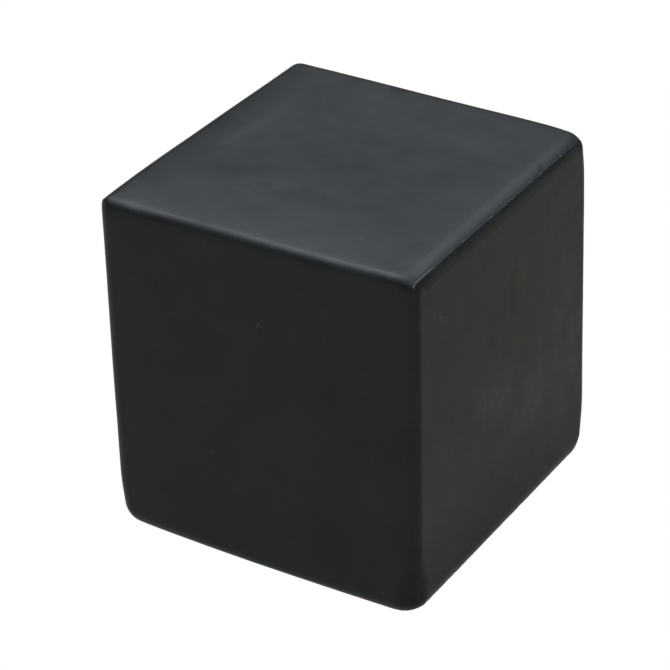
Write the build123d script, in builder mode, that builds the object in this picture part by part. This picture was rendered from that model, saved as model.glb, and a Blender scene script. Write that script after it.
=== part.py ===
from build123d import *

import os

# A cube of flexible polyurethane foam, moulded with its own dense skin in a two-part mould.
# Millimetres. +Z is up, +X is the side that the mould's lid closed, and the origin is at the
# centre of the base.

# The moulding as a whole
width = 56.0            # along X
depth = 57.0            # along Y
height = 60.0
upright_radius = 3.2    # the four edges that climb from the base to the top
top_radius = 2.8
base_radius = 3.1

# The skin, and the flash where the mould's lid met its cavity
skin = 0.8
flash_height = 0.25     # how far the trimmed flash stands out of the skin
flash_thickness = 0.3

# The lid formed the +X face, and the parting plane lies one skin thickness behind it.
parting_plane = Plane.YZ.offset(width / 2 - skin)

# The outer form of the whole moulding. The pieces are cut out of it, and it isn't a piece itself.
with BuildPart() as moulding:
    with BuildSketch(Plane.XY):
        Rectangle(width, depth)
    extrude(amount=height)
    fillet(moulding.edges().filter_by(Axis.Z), upright_radius)
    fillet(moulding.faces().sort_by(Axis.Z)[-1].edges(), top_radius)
    fillet(moulding.faces().sort_by(Axis.Z)[0].edges(), base_radius)

# The cellular foam, which fills everything inside the skin.
with BuildPart() as foam_core:
    offset(moulding.part, amount=-skin)

# The flash: a thin slice, at the parting plane, of a slightly larger moulding, with the moulding
# itself taken away, which leaves a low ridge all round.
with BuildPart() as parting_flash:
    offset(moulding.part, amount=flash_height)
    split(bisect_by=parting_plane.offset(-flash_thickness / 2), keep=Keep.TOP)
    split(bisect_by=parting_plane.offset(flash_thickness / 2), keep=Keep.BOTTOM)
    add(moulding.part, mode=Mode.SUBTRACT)

# The skin formed on the lid: the +X face and the outer part of its edges' rounding.
with BuildPart() as lid_skin:
    add(moulding.part)
    split(bisect_by=parting_plane, keep=Keep.TOP)

# The skin formed on the cavity's five walls: an open box round the foam.
with BuildPart() as cavity_skin:
    add(moulding.part)
    split(bisect_by=parting_plane, keep=Keep.BOTTOM)
    add(foam_core.part, mode=Mode.SUBTRACT)

foam_core.part.label = "foam_core"
cavity_skin.part.label = "cavity_skin"
lid_skin.part.label = "lid_skin"
parting_flash.part.label = "parting_flash"

for piece in (foam_core.part, cavity_skin.part, lid_skin.part, parting_flash.part):
    print(piece.label, "volume", round(piece.volume, 1), "mm3, valid", piece.is_valid)

os.makedirs("parts", exist_ok=True)
export_step(foam_core.part, "parts/foam_core.step")
export_step(cavity_skin.part, "parts/cavity_skin.step")
export_step(lid_skin.part, "parts/lid_skin.step")
export_step(parting_flash.part, "parts/parting_flash.step")
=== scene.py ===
"""A moulded foam cube: a satin skin in two parts, the trimmed flash between them, and the foam inside.
Shapes are worked out in millimetres in the CAD frame, and become metres when a mesh is made."""
import math

import bpy
import numpy as np
from mathutils import Matrix, Vector, noise


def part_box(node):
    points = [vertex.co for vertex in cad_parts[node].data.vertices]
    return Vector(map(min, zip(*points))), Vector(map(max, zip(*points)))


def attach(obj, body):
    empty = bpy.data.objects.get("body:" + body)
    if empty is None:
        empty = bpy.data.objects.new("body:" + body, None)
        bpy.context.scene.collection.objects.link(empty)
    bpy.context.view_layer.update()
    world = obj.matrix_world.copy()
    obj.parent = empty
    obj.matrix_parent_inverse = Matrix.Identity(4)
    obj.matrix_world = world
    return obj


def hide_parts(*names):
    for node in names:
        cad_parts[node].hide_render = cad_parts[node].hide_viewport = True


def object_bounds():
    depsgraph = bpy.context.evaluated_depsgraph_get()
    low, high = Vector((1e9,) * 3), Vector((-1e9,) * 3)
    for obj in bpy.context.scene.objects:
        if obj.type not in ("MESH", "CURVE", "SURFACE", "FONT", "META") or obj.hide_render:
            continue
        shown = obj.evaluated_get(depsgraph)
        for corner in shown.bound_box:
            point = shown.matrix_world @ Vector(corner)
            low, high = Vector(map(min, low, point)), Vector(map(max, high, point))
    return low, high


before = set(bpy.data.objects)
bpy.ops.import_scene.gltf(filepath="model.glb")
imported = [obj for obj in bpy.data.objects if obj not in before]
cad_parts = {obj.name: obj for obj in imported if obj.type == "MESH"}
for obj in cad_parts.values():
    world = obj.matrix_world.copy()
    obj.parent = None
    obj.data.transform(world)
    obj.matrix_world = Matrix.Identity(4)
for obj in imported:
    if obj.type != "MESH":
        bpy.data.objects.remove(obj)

cad_low, cad_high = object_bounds()
MM = 0.001

# ---------------------------------------------------------------- the CAD frame, in mm
LOW = np.array(cad_low) / MM
HIGH = np.array(cad_high) / MM
CENTRE = (LOW + HIGH) / 2
HALF = (HIGH - LOW) / 2
PARTING_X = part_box("lid_skin")[0][0] / MM   # where the mould's lid met its cavity
SKIN = HIGH[0] - PARTING_X                  # the skin is as thick as the lid's plate

# ---------------------------------------------------------------- roundings, in mm
# The edges along X are quarter ellipses: the reach along Y, then the reach along Z
TOP_FRONT = (1.35, 2.8)     # the low-Y edge of the top
TOP_BACK = (2.2, 2.2)
BASE_FRONT = 2.75           # the low-Y edge of the base half-way along, where it is tightest
BASE = 4.3                  # the base's edges elsewhere
BASE_FRONT_ENDS = (4.1, 3.3)    # the low-Y edge of the base at its -X end and at its +X end
SHARPEST = 0.25             # what is left of these where an end face's rounding eats them up
# The edges round the -X and +X faces: on the top, on the base, on the low-Y side, on the high-Y side
END_RADII = (2.6, 3.7, 2.5, 2.6)
LID_RADII = (3.1, 4.05, 1.6, 2.6)   # +X, beyond the parting line
CAVITY_RADII = (3.4, 5.5, 3.4, 2.9)   # +X, short of the parting line
CREASE = math.radians(6)    # the two roundings meet at this angle
END_FADE = 9.0              # height over which the -X edges tighten above the base
JOINT_FADE = 12.0           # and the +X edges
CLEARANCE = 0.06            # between the skin and the foam inside it

# ---------------------------------------------------------------- the mould's parting line, in mm
RIDGE = 0.05                # the lid's side of the line stands up a little
RIDGE_REACH = 0.35
RIM = 0.3                   # depth of the visible rim inside the joint
FLASH_WIDTH = 0.22
FLASH_ROOT = 0.12           # how deep the flash starts below the surface
FLASH_HEIGHT = 0.10
FLASH_TRIMMED = 0.42        # how much the trimming took along the top
FLASH_TRIMMED_BELOW = 1.05  # and along the other edges
FLASH_LIMIT = 0.36
FLECK_HEIGHT = 0.32         # the piece that the trimming left, on the top edge by the front corner
FLECK_FROM, FLECK_TO = -27.7, -22.7
FLASH_STEPS = 1500

# ---------------------------------------------------------------- the faces' own relief, in mm
CORNER_PULL = np.array([-0.9, -0.6, -0.40])   # the top corner at high X, high Y leans in
CORNER_PRESS = 0.5          # and its tip is pressed flat
PRESS_REACH = 4.5
SWELL = 0.10                # slow unevenness of the faces
SWELL_SIZE = 21.0
RIPPLE = 0.03
RIPPLE_SIZE = 5.5
SINK_DEPTH = 0.09           # shallow sunken area in the top, with a sharper border at low X
SINK_LOW = (-20.0, -16.0)
SINK_HIGH = (20.0, 19.0)
SINK_BORDERS = (2.6, 9.0, 6.0, 9.0)   # width of the border at low X, high X, low Y, high Y
SINK_WANDER = 3.5
ROLL_DEPTH = 0.46           # the top falls away towards its low-Y edge
ROLL_LENGTH = 18.0
ROLL_LIP = 0.16              # and faster beside the edge
ROLL_FADE = (12.0, 27.0)     # between these places along X it dies away towards the parting line
ROLL_FADED = 0.65
# Small dents in the top by the parting line: centre, half size, depth
NICKS = (
    ((26.0, -25.3), (0.6, 3.2), 0.11), ((26.9, 14.3), (0.5, 0.8), 0.14), ((-20.6, -27.6), (2.2, 0.8), 0.10),
    ((24.6, -27.6), (1.2, 0.6), 0.07),
)
CORE_CROWN = 0.5            # the foam's sides pull in between its corners

# ---------------------------------------------------------------- mesh density
SIDE = 64                   # segments along one straight side of an outline
CORNER = 14                 # segments round one corner of an outline
GRID = SIDE + CORNER        # segments along one side of an end's grid
BODY = 64                   # rings between the two ends
ARC = 13                    # rings round the -X edges
RIGHT_ANGLE = math.pi / 2


def smooth(t):
    """A smooth step from 0 to 1."""
    t = np.clip(t, 0, 1)
    return t * t * (3 - 2 * t)


# ================================================================ outlines and rings
# An outline has COUNT points. It starts in the middle of the corner at low Y, low Z, and goes to high Y
# first. A corner takes up HALF_CORNER points on each side of its middle.
COUNT = 4 * GRID
HALF_CORNER = CORNER // 2
CORNER_TURN = np.radians(90 * np.arange(CORNER + 1) / CORNER)


def corner_points(k):
    """Where the points of corner k are in an outline."""
    return (k * GRID + np.arange(-HALF_CORNER, HALF_CORNER + 1)) % COUNT


def side_points(k):
    """Where the points of the straight side after corner k are in an outline."""
    return np.arange(k * GRID + HALF_CORNER + 1, (k + 1) * GRID - HALF_CORNER)


def facings():
    """The outward direction (y, z) at each point of an outline."""
    directions = np.zeros((COUNT, 2))
    for k, start in enumerate((180, 270, 0, 90)):
        angles = math.radians(start) + CORNER_TURN
        directions[corner_points(k)] = np.stack([np.cos(angles), np.sin(angles)], 1)
        directions[side_points(k)] = directions[corner_points(k)[-1]]
    return directions


FACING = facings()


def outline(x, inset=0.0):
    """The block's section at x, as points of (y, z), drawn in by inset, which may differ by point."""
    inset = np.broadcast_to(inset, COUNT)
    aside = min(abs(x - CENTRE[0]) / HALF[0], 1)
    at_end = BASE_FRONT_ENDS[1] if x > CENTRE[0] else BASE_FRONT_ENDS[0]
    base_front = BASE_FRONT + (at_end - BASE_FRONT) * aside**2
    corners = (
        (LOW[1], LOW[2], base_front, base_front), (HIGH[1], LOW[2], BASE, BASE),
        (HIGH[1], HIGH[2], *TOP_BACK), (LOW[1], HIGH[2], *TOP_FRONT),
    )
    yz = np.zeros((COUNT, 2))
    for k, (y, z, reach_y, reach_z) in enumerate(corners):
        at = corner_points(k)
        for axis, side, reach in ((0, y, reach_y), (1, z, reach_z)):
            left = np.maximum(reach - inset[at], SHARPEST)
            inward = math.copysign(1, CENTRE[1 + axis] - side)
            yz[at, axis] = side + inward * (inset[at] + left * (1 - np.abs(FACING[at, axis])))
    for k in range(4):
        at = side_points(k)
        along = ((at - at[0] + 1) / (len(at) + 1))[:, None]
        yz[at] = yz[at[0] - 1] * (1 - along) + yz[at[-1] + 1] * along
    yz[side_points(1), 0] = HIGH[1] - inset[side_points(1)]
    yz[side_points(3), 0] = LOW[1] + inset[side_points(3)]
    return yz


def radius_of(radii, fade):
    """The radius of an end face's edge at each point of an outline, from its four values."""
    top, base, low_y, high_y = radii
    y, z = FACING.T
    radius = (
        top * np.maximum(z, 0)**2 + base * np.maximum(-z, 0)**2
        + low_y * np.maximum(-y, 0)**2 + high_y * np.maximum(y, 0)**2
    )
    above_base = outline(CENTRE[0])[:, 1] - LOW[2]
    return radius + (base - radius) * smooth(1 - above_base / fade)


END_RADIUS = radius_of(END_RADII, END_FADE)
LID_RADIUS = radius_of(LID_RADII, JOINT_FADE)
CAVITY_RADIUS = radius_of(CAVITY_RADII, JOINT_FADE)
LID_TILT = np.arcsin(1 - SKIN / LID_RADIUS)         # how far the lid's surface leans at the parting line
CAVITY_TILT = np.maximum(LID_TILT - CREASE, 0.3)    # and the cavity's
JOINT_INSET = CAVITY_RADIUS * (1 - np.cos(CAVITY_TILT))
CAVITY_END = PARTING_X - np.max(CAVITY_RADIUS * np.sin(CAVITY_TILT))   # where the rounding starts


def ring(x, inset=0.0):
    """One ring of points (x, y, z). Both x and inset may differ by point."""
    return np.column_stack([np.broadcast_to(x, COUNT), outline(float(np.mean(x)), inset)])


def end_ring(tilt):
    """A ring on the rounding of the -X face, where the surface leans by tilt."""
    return ring(LOW[0] + END_RADIUS * (1 - np.sin(tilt)), END_RADIUS * (1 - np.cos(tilt)))


def cavity_ring(share):
    """A ring on the cavity's side of the +X rounding, from 0 where it starts to 1 at the parting line."""
    tilt = CAVITY_TILT * share
    back = CAVITY_RADIUS * (np.sin(CAVITY_TILT) - np.sin(tilt))
    return ring(PARTING_X - back, CAVITY_RADIUS * (1 - np.cos(tilt)))


def lid_ring(share):
    """A ring on the lid, from 0 at the parting line to 1 at the edge of the flat face."""
    tilt = LID_TILT + (RIGHT_ANGLE - LID_TILT) * share
    rise = ridge() * np.exp(-(tilt - LID_TILT) * LID_RADIUS / RIDGE_REACH)
    back = LID_RADIUS * (1 - np.sin(tilt)) - rise * np.sin(tilt)
    inset = JOINT_INSET + LID_RADIUS * (np.cos(LID_TILT) - np.cos(tilt)) - rise * np.cos(tilt)
    return ring(HIGH[0] - back, inset)


def ridge():
    """How far the lid's edge stands up beside the parting line. It comes and goes."""
    return RIDGE * np.array([0.8 + 0.9 * noise.noise(Vector((y, z, 4.0)) * 0.35) for y, z in outline(HIGH[0])])


# ================================================================ relief of the whole block
def wandering(x, y, size):
    """x and y shifted a little, so that a border isn't straight."""
    shift = noise.noise_vector(Vector((x, y, 2.0)) / size)
    return x + SINK_WANDER * shift.x, y + SINK_WANDER * shift.y


def dip(x, y):
    """Depth of the top face's sunken area, with soft borders."""
    x, y = wandering(x, y, 14.0)
    borders = (x - SINK_LOW[0], SINK_HIGH[0] - x, y - SINK_LOW[1], SINK_HIGH[1] - y)
    depth = SINK_DEPTH
    for inside, width in zip(borders, SINK_BORDERS):
        depth *= smooth(inside / width)
    return depth


def roll(x, y):
    """How far the top falls away towards its low-Y edge."""
    share = max((LOW[1] + ROLL_LENGTH - y) / ROLL_LENGTH, 0)
    faded = ROLL_FADED * smooth((x - ROLL_FADE[0]) / (ROLL_FADE[1] - ROLL_FADE[0]))
    return (ROLL_DEPTH * share**2 + ROLL_LIP * share**12) * (1 - faded)


def nicked(x, y):
    """Depth of the small dents in the top at x, y."""
    return sum(
        depth * math.exp(-((x - middle[0]) / half[0])**2 - ((y - middle[1]) / half[1])**2)
        for middle, half, depth in NICKS
    )


def unevenness(point):
    """How far a face lies inside the CAD box at a point of it."""
    slow = 0.5 + 0.5 * noise.noise(point / SWELL_SIZE)
    quick = 0.5 + 0.5 * noise.noise(point / RIPPLE_SIZE)
    return SWELL * slow + RIPPLE * quick


def shaped(points):
    """Points of the ideal block, moved to where the real, uneven one has them. Nothing leaves the box."""
    points = np.asarray(points, float)
    from_centre = (points - CENTRE) / HALF
    lean = np.prod(1 + from_centre, axis=-1, keepdims=True) / 8
    tip = CENTRE + HALF - points
    pressed = np.exp(-np.sum(tip**2, axis=-1, keepdims=True) / PRESS_REACH**2)
    facing = np.sign(from_centre) * np.abs(from_centre) ** 7
    moved = []
    for point, face in zip(points.reshape(-1, 3), facing.reshape(-1, 3)):
        depth = unevenness(Vector(point))
        top = dip(point[0], point[1]) + roll(point[0], point[1]) + nicked(point[0], point[1])
        moved.append((-face[0] * depth, -face[1] * depth, -max(face[2], 0) * (depth + top)))
    tip_shift = -pressed * CORNER_PRESS / math.sqrt(3)
    return points + lean * CORNER_PULL + tip_shift + np.array(moved).reshape(points.shape)


# ================================================================ meshes
def end_grid(edge):
    """A square grid of points that closes a ring, blended from its four sides."""
    sides = [edge[np.arange(k * GRID, (k + 1) * GRID + 1) % COUNT] for k in range(4)]
    base, right, top, left = sides[0], sides[1], sides[2][::-1], sides[3][::-1]
    u = (np.arange(GRID + 1) / GRID)[:, None, None]
    v = (np.arange(GRID + 1) / GRID)[None, :, None]
    blended = (1 - v) * base[:, None] + v * top[:, None] + (1 - u) * left[None] + u * right[None]
    corners = (
        (1 - u) * (1 - v) * base[0] + u * (1 - v) * base[-1] + (1 - u) * v * top[0] + u * v * top[-1]
    )
    return blended - corners


def edge_index(i, j):
    """Which ring point lies at (i, j) on the border of an end's grid, or None inside it."""
    if j == 0:
        return i
    if i == GRID:
        return GRID + j
    if j == GRID:
        return 3 * GRID - i
    if i == 0:
        return (COUNT - j) % COUNT
    return None


def closed_form(name, walls):
    """A closed mesh from rings in order, with a grid over the first ring and over the last."""
    points = [tuple(p) for wall in walls for p in wall]
    faces = []
    for k in range(len(walls) - 1):
        for i in range(COUNT):
            j = (i + 1) % COUNT
            faces.append((k * COUNT + i, k * COUNT + j, (k + 1) * COUNT + j, (k + 1) * COUNT + i))
    for ring_index, flip in ((0, True), (len(walls) - 1, False)):
        grid = end_grid(walls[ring_index])
        index = {}
        for i in range(GRID + 1):
            for j in range(GRID + 1):
                at = edge_index(i, j)
                if at is None:
                    index[i, j] = len(points)
                    points.append(tuple(grid[i, j]))
                else:
                    index[i, j] = ring_index * COUNT + at
        for i in range(GRID):
            for j in range(GRID):
                face = (index[i, j], index[i + 1, j], index[i + 1, j + 1], index[i, j + 1])
                faces.append(face[::-1] if flip else face)
    return mesh_of(name, points, faces)


def mesh_of(name, points, faces):
    mesh = bpy.data.meshes.new(name)
    mesh.from_pydata((shaped(points) * MM).tolist(), [], faces)
    mesh.validate()
    mesh.shade_smooth()
    mesh.set_sharp_from_angle(angle=math.radians(35))
    return mesh


def piece_of(name, mesh, node):
    """A piece that stands for a CAD node: it hides that node and hangs from the root body."""
    piece = link(name, mesh)
    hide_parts(node)
    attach(piece, "root")
    return piece


def link(name, data):
    made = bpy.data.objects.new(name, data)
    bpy.context.scene.collection.objects.link(made)
    return made


# ================================================================ the pieces
NEAR_JOINT = np.array([0.0, 0.03, 0.07, 0.12, 0.19, 0.28, 0.40, 0.55, 0.75, 1.0])


def along_x(start, end, count):
    """Places of the rings between two ends."""
    return np.linspace(start, end, count + 2)[1:-1]


def drawn_in(edge, amount):
    """A ring moved towards the block's long axis."""
    moved = edge.copy()
    moved[:, 1:] -= amount * FACING
    return moved


def inside_rings(inset, open_end):
    """Rings round the hollow in the skin, from its open end back to the -X face."""
    start = LOW[0] + inset
    rounding = np.maximum(END_RADIUS - inset, SHARPEST)
    rings = [ring(open_end, np.maximum(inset, JOINT_INSET + RIM + inset - SKIN))]
    rings += [ring(x, inset) for x in along_x(start + BASE, open_end - BASE, BODY // 3)[::-1]]
    for tilt in np.linspace(0, RIGHT_ANGLE, 6):
        rings.append(ring(start + rounding * (1 - np.sin(tilt)), inset + rounding * (1 - np.cos(tilt))))
    return rings


def cavity_skin():
    """The skin on the base, the top and three sides, with a hollow for the foam."""
    rings = [end_ring(tilt) for tilt in np.linspace(RIGHT_ANGLE, 0, ARC)]
    rings += [ring(x) for x in along_x(LOW[0] + BASE, CAVITY_END, BODY)]
    rings += [cavity_ring(1 - share) for share in NEAR_JOINT[::-1]]
    rings += inside_rings(SKIN, PARTING_X)
    return piece_of("cavity_skin_moulded", closed_form("cavity_skin", np.array(rings)), "cavity_skin")


def lid_skin():
    """The skin of the +X face, a plate with a flat back and its own rounding."""
    front = [lid_ring(share) for share in NEAR_JOINT]
    front[0][:, 0] = PARTING_X
    rings = [drawn_in(front[0], RIM)] + front
    return piece_of("lid_skin_moulded", closed_form("lid_skin", np.array(rings)), "lid_skin")


def foam_core():
    """The foam that fills the skin: a pad, crowned, with its sides drawn in between its corners."""
    points = np.array(inside_rings(SKIN + CLEARANCE, PARTING_X - CLEARANCE)[::-1])
    from_centre = np.abs((points - CENTRE) / HALF)
    between = np.prod(np.sin(RIGHT_ANGLE * (1 - np.clip(from_centre, 0, 1) ** 6)) * 0.5 + 0.5, axis=-1)
    points = CENTRE + (points - CENTRE) * (1 - CORE_CROWN / HALF[2] * (1 - between))[..., None]
    core = piece_of("foam_core_pad", closed_form("foam_core", points), "foam_core")
    return core


def flash_height(y, z):
    """Height of what the trimming left of the flash, at a place on the parting line."""
    torn = noise.noise(Vector((y, z, 0)) * 0.9) + 0.6 * noise.noise(Vector((y, z, 7)) * 3.1)
    on_top = z > HIGH[2] - TOP_FRONT[1]
    height = FLASH_HEIGHT * max(torn - (FLASH_TRIMMED if on_top else FLASH_TRIMMED_BELOW), 0)
    if on_top and FLECK_FROM < y < FLECK_TO:
        along = (y - FLECK_FROM) / (FLECK_TO - FLECK_FROM)
        lump = 0.75 + 0.35 * math.cos(along * 2 * math.pi) + 0.25 * noise.noise(Vector((y * 2.3, 0, 3)))
        height = max(height, FLECK_HEIGHT * lump)
    return min(height, FLASH_LIMIT)


def parting_flash():
    """A thin torn ribbon along the parting line, all the way round."""
    joint = cavity_ring(1.0)
    closed = np.vstack([joint, joint[:1]])
    outward = np.vstack([FACING, FACING[:1]])
    travelled = np.concatenate([[0], np.cumsum(np.linalg.norm(np.diff(closed, axis=0), axis=1))])
    places = travelled[-1] * np.arange(FLASH_STEPS) / FLASH_STEPS
    y, z, out_y, out_z = (
        np.interp(places, travelled, values) for values in (closed[:, 1], closed[:, 2], outward[:, 0], outward[:, 1])
    )
    points = []
    for k in range(FLASH_STEPS):
        height = flash_height(y[k], z[k])
        lean = 0.10 * noise.noise(Vector((y[k], z[k], 11)) * 1.3)
        width = FLASH_WIDTH * (0.8 + 0.5 * noise.noise(Vector((y[k], z[k], 15)) * 1.7))
        for across, up in ((-0.5, -FLASH_ROOT), (0.5, -FLASH_ROOT), (0.32, 0.6 * height), (0.05, height), (-0.3, 0.7 * height)):
            sideways = across * width + (lean if up > 0 else 0)
            points.append((PARTING_X + sideways, y[k] + up * out_y[k], z[k] + up * out_z[k]))
    faces = []
    section = 5
    for k in range(FLASH_STEPS):
        for i in range(section):
            j = (i + 1) % section
            following = (k + 1) % FLASH_STEPS
            faces.append((k * section + i, following * section + i, following * section + j, k * section + j))
    return piece_of("parting_flash_torn", mesh_of("parting_flash", points, faces), "parting_flash")


# ================================================================ materials
def new_material(name):
    material = bpy.data.materials.new(name)
    material.use_nodes = True
    tree = material.node_tree
    return material, tree, tree.nodes["Principled BSDF"]


def add_node(tree, kind, inputs=(), **settings):
    """A node with its settings and inputs. An input is a value, or another node's output."""
    made = tree.nodes.new(kind)
    for name, value in settings.items():
        setattr(made, name, value)
    for name, value in dict(inputs).items():
        if isinstance(value, bpy.types.NodeSocket):
            tree.links.new(value, made.inputs[name])
        else:
            made.inputs[name].default_value = value
    return made


def math_node(tree, operation, a, b):
    return add_node(tree, "ShaderNodeMath", {0: a, 1: b}, operation=operation).outputs[0]


def in_millimetres(tree):
    """The place on the object, in mm."""
    coords = add_node(tree, "ShaderNodeTexCoord")
    return add_node(
        tree, "ShaderNodeVectorMath", {0: coords.outputs["Object"], "Scale": 1 / MM}, operation="SCALE"
    ).outputs[0]


def grain(tree, place, size, detail=2.0, roughness=0.5):
    """Noise from 0 to 1 with blotches of about the given size in mm."""
    return add_node(
        tree, "ShaderNodeTexNoise",
        {"Vector": place, "Scale": 1 / size, "Detail": detail, "Roughness": roughness},
    ).outputs["Fac"]


def spread(tree, value, low, high, low_at=0.35, high_at=0.65):
    """A noise value stretched to run from low to high."""
    return add_node(
        tree, "ShaderNodeMapRange",
        {"Value": value, "From Min": low_at, "From Max": high_at, "To Min": low, "To Max": high},
    ).outputs[0]


def spot(tree, place, centre, half_size, turn_x=0.0, turn_z=0.0):
    """1 at centre, falling to 0 at an ellipsoid of the given half sizes."""
    local = add_node(
        tree, "ShaderNodeMapping",
        {
            "Vector": place, "Location": centre, "Scale": half_size,
            "Rotation": (math.radians(turn_x), 0, math.radians(turn_z)),
        },
        vector_type="TEXTURE",
    ).outputs[0]
    return add_node(tree, "ShaderNodeTexGradient", {"Vector": local}, gradient_type="SPHERICAL").outputs["Fac"]


def sum_of(tree, values):
    total = values[0]
    for value in values[1:]:
        total = math_node(tree, "ADD", total, value)
    return total


def skin_material():
    """Dense moulded polyurethane: nearly black, satin, faintly mottled, with rub marks, specks of dust, and small
    dents that are darkened in colour as painted shade.
    """
    material, tree, shader = new_material("moulded_skin")
    straight = in_millimetres(tree)
    wander = add_node(tree, "ShaderNodeTexNoise", {"Vector": straight, "Scale": 0.45, "Detail": 3.0})
    shift = add_node(
        tree, "ShaderNodeVectorMath", {0: wander.outputs["Color"], 1: (0.5, 0.5, 0.5)}, operation="SUBTRACT"
    ).outputs[0]
    place, nearly = (
        add_node(
            tree, "ShaderNodeVectorMath", {0: shift, 1: (warp, warp, warp), 2: straight}, operation="MULTIPLY_ADD"
        ).outputs[0]
        for warp in (4.0, 1.0)
    )

    haze = sum_of(tree, [
        math_node(tree, "MULTIPLY", spot(tree, place, centre, size), strength)
        for centre, size, strength in HAZE
    ])
    haze = math_node(tree, "MULTIPLY", haze, spread(tree, grain(tree, straight, 4.5, 4.0, 0.6), 0.3, 1.6))
    # Mask of the dents: it sinks them in the relief and darkens their colour as painted shade
    dent_and_painted_shade = sum_of(tree, [
        math_node(tree, "MULTIPLY", spot(tree, nearly, centre, size, turn_x), strength)
        for centre, size, turn_x, strength in DENTS
    ])
    specks = sum_of(tree, [spot(tree, nearly, centre, (SPECK, SPECK, SPECK)) for centre in SPECKS])
    mottle = spread(tree, grain(tree, straight, 9.0, 5.0, 0.6), 0.0, 1.0)
    cloudy = math_node(tree, "ADD", math_node(tree, "MULTIPLY", mottle, 0.28), haze)
    # The dents darken the colour here: painted shade in them
    cloudy = math_node(tree, "SUBTRACT", cloudy, dent_and_painted_shade)
    colour = add_node(
        tree, "ShaderNodeMix",
        {"Factor": cloudy, "A": DEEP, "B": HAZY},
        data_type="RGBA",
    )
    dusted = add_node(
        tree, "ShaderNodeMix",
        {"Factor": math_node(tree, "MINIMUM", math_node(tree, "MULTIPLY", specks, 3.0), 1.0),
         "A": colour.outputs["Result"], "B": DUST},
        data_type="RGBA",
    )
    tree.links.new(dusted.outputs["Result"], shader.inputs["Base Color"])

    dull = sum_of(tree, [
        math_node(tree, "MULTIPLY", spot(tree, nearly, centre, size), strength)
        for centre, size, strength in DULL
    ])
    dull = math_node(tree, "ADD", dull, math_node(tree, "MULTIPLY", dent_and_painted_shade, DENT_DULL))
    shine = math_node(tree, "SUBTRACT", 1.0, math_node(tree, "MINIMUM", dull, 0.8))
    tree.links.new(math_node(tree, "MULTIPLY", shine, 0.5), shader.inputs["Specular IOR Level"])
    patchy = spread(tree, grain(tree, straight, 4.0, 4.0), 0.27, 0.34)
    tree.links.new(patchy, shader.inputs["Roughness"])
    shader.inputs["IOR"].default_value = 1.5

    fine = math_node(tree, "MULTIPLY", grain(tree, straight, 0.6, 1.0), 0.005)
    crumple = math_node(
        tree, "MULTIPLY", spot(tree, nearly, *CRUMPLE), math_node(tree, "MULTIPLY", grain(tree, straight, 0.9, 2.0), 0.09)
    )
    coarse = math_node(tree, "MULTIPLY", grain(tree, straight, 3.2, 3.0), 0.022)
    relief = sum_of(tree, [fine, coarse, crumple, math_node(tree, "MULTIPLY", dent_and_painted_shade, -0.035)])
    bump = add_node(tree, "ShaderNodeBump", {"Height": relief, "Distance": MM, "Strength": 1.0})
    tree.links.new(bump.outputs[0], shader.inputs["Normal"])
    return material


# The skin's colour, from its clean to its rubbed parts
DEEP = (0.0076, 0.0088, 0.0092, 1)
HAZY = (0.0270, 0.0300, 0.0300, 1)
DUST = (0.055, 0.056, 0.053, 1)
CRUMPLE = ((25.3, -27.2, 59.6), (3.2, 2.4, 2.0))   # creased skin behind the front end of the flash
# Cloudy patches, where the skin is rubbed and a little greyer: centre, half size, strength
HAZE = (
    ((28, -4, 28), (4, 8, 7), 1.25),
    ((28, 7, 22), (4, 8, 8), 0.9),
    ((28, 20, 40), (4, 12, 18), 0.40),
    ((28, 19, 23), (5, 15, 15), 0.50),
    ((-6, -14, 60), (8, 5, 4), 0.4),
)
# Where the skin is less glossy: centre, half size, strength
DULL = (
    ((-26.0, 0, 60), (7, 50, 5), 0.48),
    ((28, -6, 1), (6, 44, 17), 0.75),
    ((0, -28.5, 1), (44, 6, 18), 0.16),
    ((26.2, -27.8, 59.3), (2.3, 2.1, 2.2), 0.75),
    ((-4, 2, 60), (26, 22, 6), 0.12),
    ((-9, -27.6, 59.6), (8, 4, 3), 0.30),
    ((-14, -10, 60), (7, 5, 3), 0.14),
    ((-3, -2, 60), (6, 4, 3), 0.12),
)
DENT_DULL = 0.3            # how much of their gloss the dents lose
# Small dents, their colour darkened as painted shade: centre, half size, turn about X, strength
DENTS = (
    ((28, 1.5, 43.3), (3, 1.8, 5.6), 0, 1.0),
    ((28, -6, 39), (3, 1.2, 3.6), 35, 0.7),
    ((28, -25.7, 7.2), (3, 1.0, 1.4), 0, 0.8),
    ((-6, 26.3, 60), (2.4, 2.0, 3), 0, 1.0),
)
# Specks of dust on the skin
SPECK = 0.30
SPECKS = (
    (28, -23.0, 51.8), (28, -21.2, 50.5), (28, -19.2, 49.2), (14.4, -20.5, 60), (15.5, -19.5, 60),
    (-20.7, -22.8, 60), (0.9, -28.5, 45.4), (-8.7, -28.5, 19.9), (-28, 9.0, 33.0), (6.0, 28.5, 22.0),
)


FLECK_SPOT = ((27.2, -25.4, 59.4), (3.0, 3.9, 3.0))   # the flash is torn and greyer here
TOP_EDGE_SPOT = ((27.2, 0, 59.4), (3.0, 70.0, 3.0))   # and a little along the rest of the top


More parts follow.
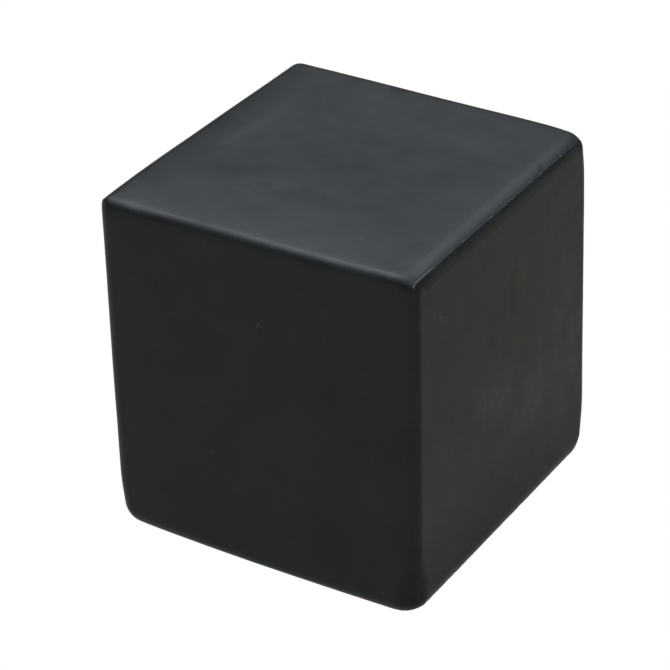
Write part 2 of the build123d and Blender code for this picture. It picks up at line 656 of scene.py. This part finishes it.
def flash_material():
    """Torn flash: matt and greyer than the skin, because it is thin and rough."""
    material, tree, shader = new_material("torn_flash")
    place = in_millimetres(tree)
    fleck = math_node(tree, "MULTIPLY", spot(tree, place, *FLECK_SPOT), 2.0)
    fleck = math_node(tree, "ADD", fleck, math_node(tree, "MULTIPLY", spot(tree, place, *TOP_EDGE_SPOT), 0.4))
    kept = math_node(tree, "ADD", math_node(tree, "MINIMUM", fleck, 0.8), 0.2)
    torn = math_node(tree, "MULTIPLY", spread(tree, grain(tree, place, 1.6, 4.0), 0.2, 1.0), kept)
    colour = add_node(
        tree, "ShaderNodeMix", {"Factor": torn, "A": (0.012, 0.013, 0.013, 1), "B": (0.23, 0.24, 0.235, 1)},
        data_type="RGBA",
    )
    tree.links.new(colour.outputs["Result"], shader.inputs["Base Color"])
    tree.links.new(spread(tree, grain(tree, place, 0.4), 0.6, 0.85), shader.inputs["Roughness"])
    bump = add_node(tree, "ShaderNodeBump", {"Height": grain(tree, place, 0.25, 3.0), "Distance": 0.04 * MM})
    tree.links.new(bump.outputs[0], shader.inputs["Normal"])
    return material


def foam_material():
    """Cellular foam: small open cells in a dark grey."""
    material, tree, shader = new_material("cellular_foam")
    place = in_millimetres(tree)
    cells = add_node(tree, "ShaderNodeTexVoronoi", {"Vector": place, "Scale": 1 / 0.7}).outputs["Distance"]
    colour = add_node(
        tree, "ShaderNodeMix", {"Factor": cells, "A": (0.012, 0.012, 0.012, 1), "B": (0.06, 0.061, 0.06, 1)},
        data_type="RGBA",
    )
    tree.links.new(colour.outputs["Result"], shader.inputs["Base Color"])
    tree.links.new(spread(tree, grain(tree, place, 2.0), 0.8, 0.95), shader.inputs["Roughness"])
    bump = add_node(tree, "ShaderNodeBump", {"Height": cells, "Distance": 0.3 * MM})
    tree.links.new(bump.outputs[0], shader.inputs["Normal"])
    return material


# ================================================================ floor, light and camera
FLOOR_HALF = 4.0                        # m
# What the object mirrors of the floor, in front of it and behind it
FLOOR_FRONT = (0.300, 0.318, 0.290, 1)
FLOOR_BACK = (0.262, 0.275, 0.240, 1)
FLOOR_REACH = 0.12                      # m, over which the one turns into the other
# Light from the studio's ceiling: height of the direction (its sine) and how bright it is there
SKY = ((0.0, 0.08), (0.30, 0.13), (0.42, 0.26), (0.51, 0.52), (0.60, 0.92), (0.70, 1.45), (0.87, 2.45), (1.0, 2.75))
SKY_TOP = 2.75
SKY_TINT = (0.935, 0.985, 1.065)


def white_for_camera(tree, colour):
    """Emission of the given colour that the camera itself sees as white."""
    glow = add_node(tree, "ShaderNodeEmission")
    tree.links.new(colour, glow.inputs["Color"])
    white = add_node(tree, "ShaderNodeEmission", {"Color": (1, 1, 1, 1)})
    path = add_node(tree, "ShaderNodeLightPath")
    mix = add_node(tree, "ShaderNodeMixShader", {0: path.outputs["Is Camera Ray"]})
    tree.links.new(glow.outputs[0], mix.inputs[1])
    tree.links.new(white.outputs[0], mix.inputs[2])
    return glow, mix.outputs[0]


def floor():
    r = FLOOR_HALF
    mesh = bpy.data.meshes.new("floor")
    mesh.from_pydata([(-r, -r, 0), (r, -r, 0), (r, r, 0), (-r, r, 0)], [], [(0, 1, 2, 3)])
    material, tree, _ = new_material("pale_floor")
    coords = add_node(tree, "ShaderNodeTexCoord")
    place = add_node(tree, "ShaderNodeSeparateXYZ", {0: coords.outputs["Object"]})
    behind = math_node(tree, "ADD", place.outputs["X"], place.outputs["Y"])
    share = spread(tree, behind, 0.0, 1.0, -FLOOR_REACH, FLOOR_REACH)
    glow = add_node(
        tree, "ShaderNodeMix", {"Factor": share, "A": FLOOR_FRONT, "B": FLOOR_BACK}, data_type="RGBA"
    )
    _, surface = white_for_camera(tree, glow.outputs["Result"])
    tree.links.new(surface, tree.nodes["Material Output"].inputs["Surface"])
    mesh.materials.append(material)
    link("floor", mesh)


def studio():
    """A soft ceiling light that fades out towards the horizon."""
    world = bpy.data.worlds.new("studio")
    bpy.context.scene.world = world
    world.use_nodes = True
    tree = world.node_tree
    tree.nodes.clear()
    coords = add_node(tree, "ShaderNodeTexCoord")
    height = add_node(tree, "ShaderNodeSeparateXYZ", {0: coords.outputs["Generated"]}).outputs["Z"]
    ramp = add_node(tree, "ShaderNodeValToRGB", {"Fac": height})
    stops = ramp.color_ramp.elements
    while len(stops) < len(SKY):
        stops.new(0.5)
    for stop, (at, brightness) in zip(stops, SKY):
        stop.position = at
        stop.color = [brightness / SKY_TOP * tint for tint in SKY_TINT] + [1]
    glow, surface = white_for_camera(tree, ramp.outputs["Color"])
    glow.inputs["Strength"].default_value = SKY_TOP
    out = add_node(tree, "ShaderNodeOutputWorld")
    tree.links.new(surface, out.inputs["Surface"])


def camera():
    azimuth, elevation, roll = (math.radians(angle) for angle in (32.05, 30.32, 1.4))
    distance, aside, above = 428 * MM, 2.95 * MM, 0.98 * MM
    flat = math.cos(elevation)
    back = Vector((math.sin(azimuth) * flat, -math.cos(azimuth) * flat, math.sin(elevation)))
    right = Vector((math.cos(azimuth), math.sin(azimuth), 0))
    up = back.cross(right)
    turned_right = math.cos(roll) * right - math.sin(roll) * up
    turned_up = math.sin(roll) * right + math.cos(roll) * up
    data = bpy.data.cameras.new("camera")
    data.sensor_width = 36
    data.lens = 144.5
    data.clip_start = 0.01
    data.clip_end = 50
    made = link("camera", data)
    place = Vector(CENTRE) * MM - aside * turned_right - above * turned_up + distance * back
    turn = Matrix((turned_right, turned_up, back)).transposed().to_4x4()
    made.matrix_world = Matrix.Translation(place) @ turn
    bpy.context.scene.camera = made


# ================================================================ everything put together
floor()
studio()
camera()
bpy.context.scene.view_settings.view_transform = "Standard"

skin = skin_material()
for made, material in (
    (cavity_skin(), skin), (lid_skin(), skin), (parting_flash(), flash_material()), (foam_core(), foam_material()),
):
    made.data.materials.append(material)
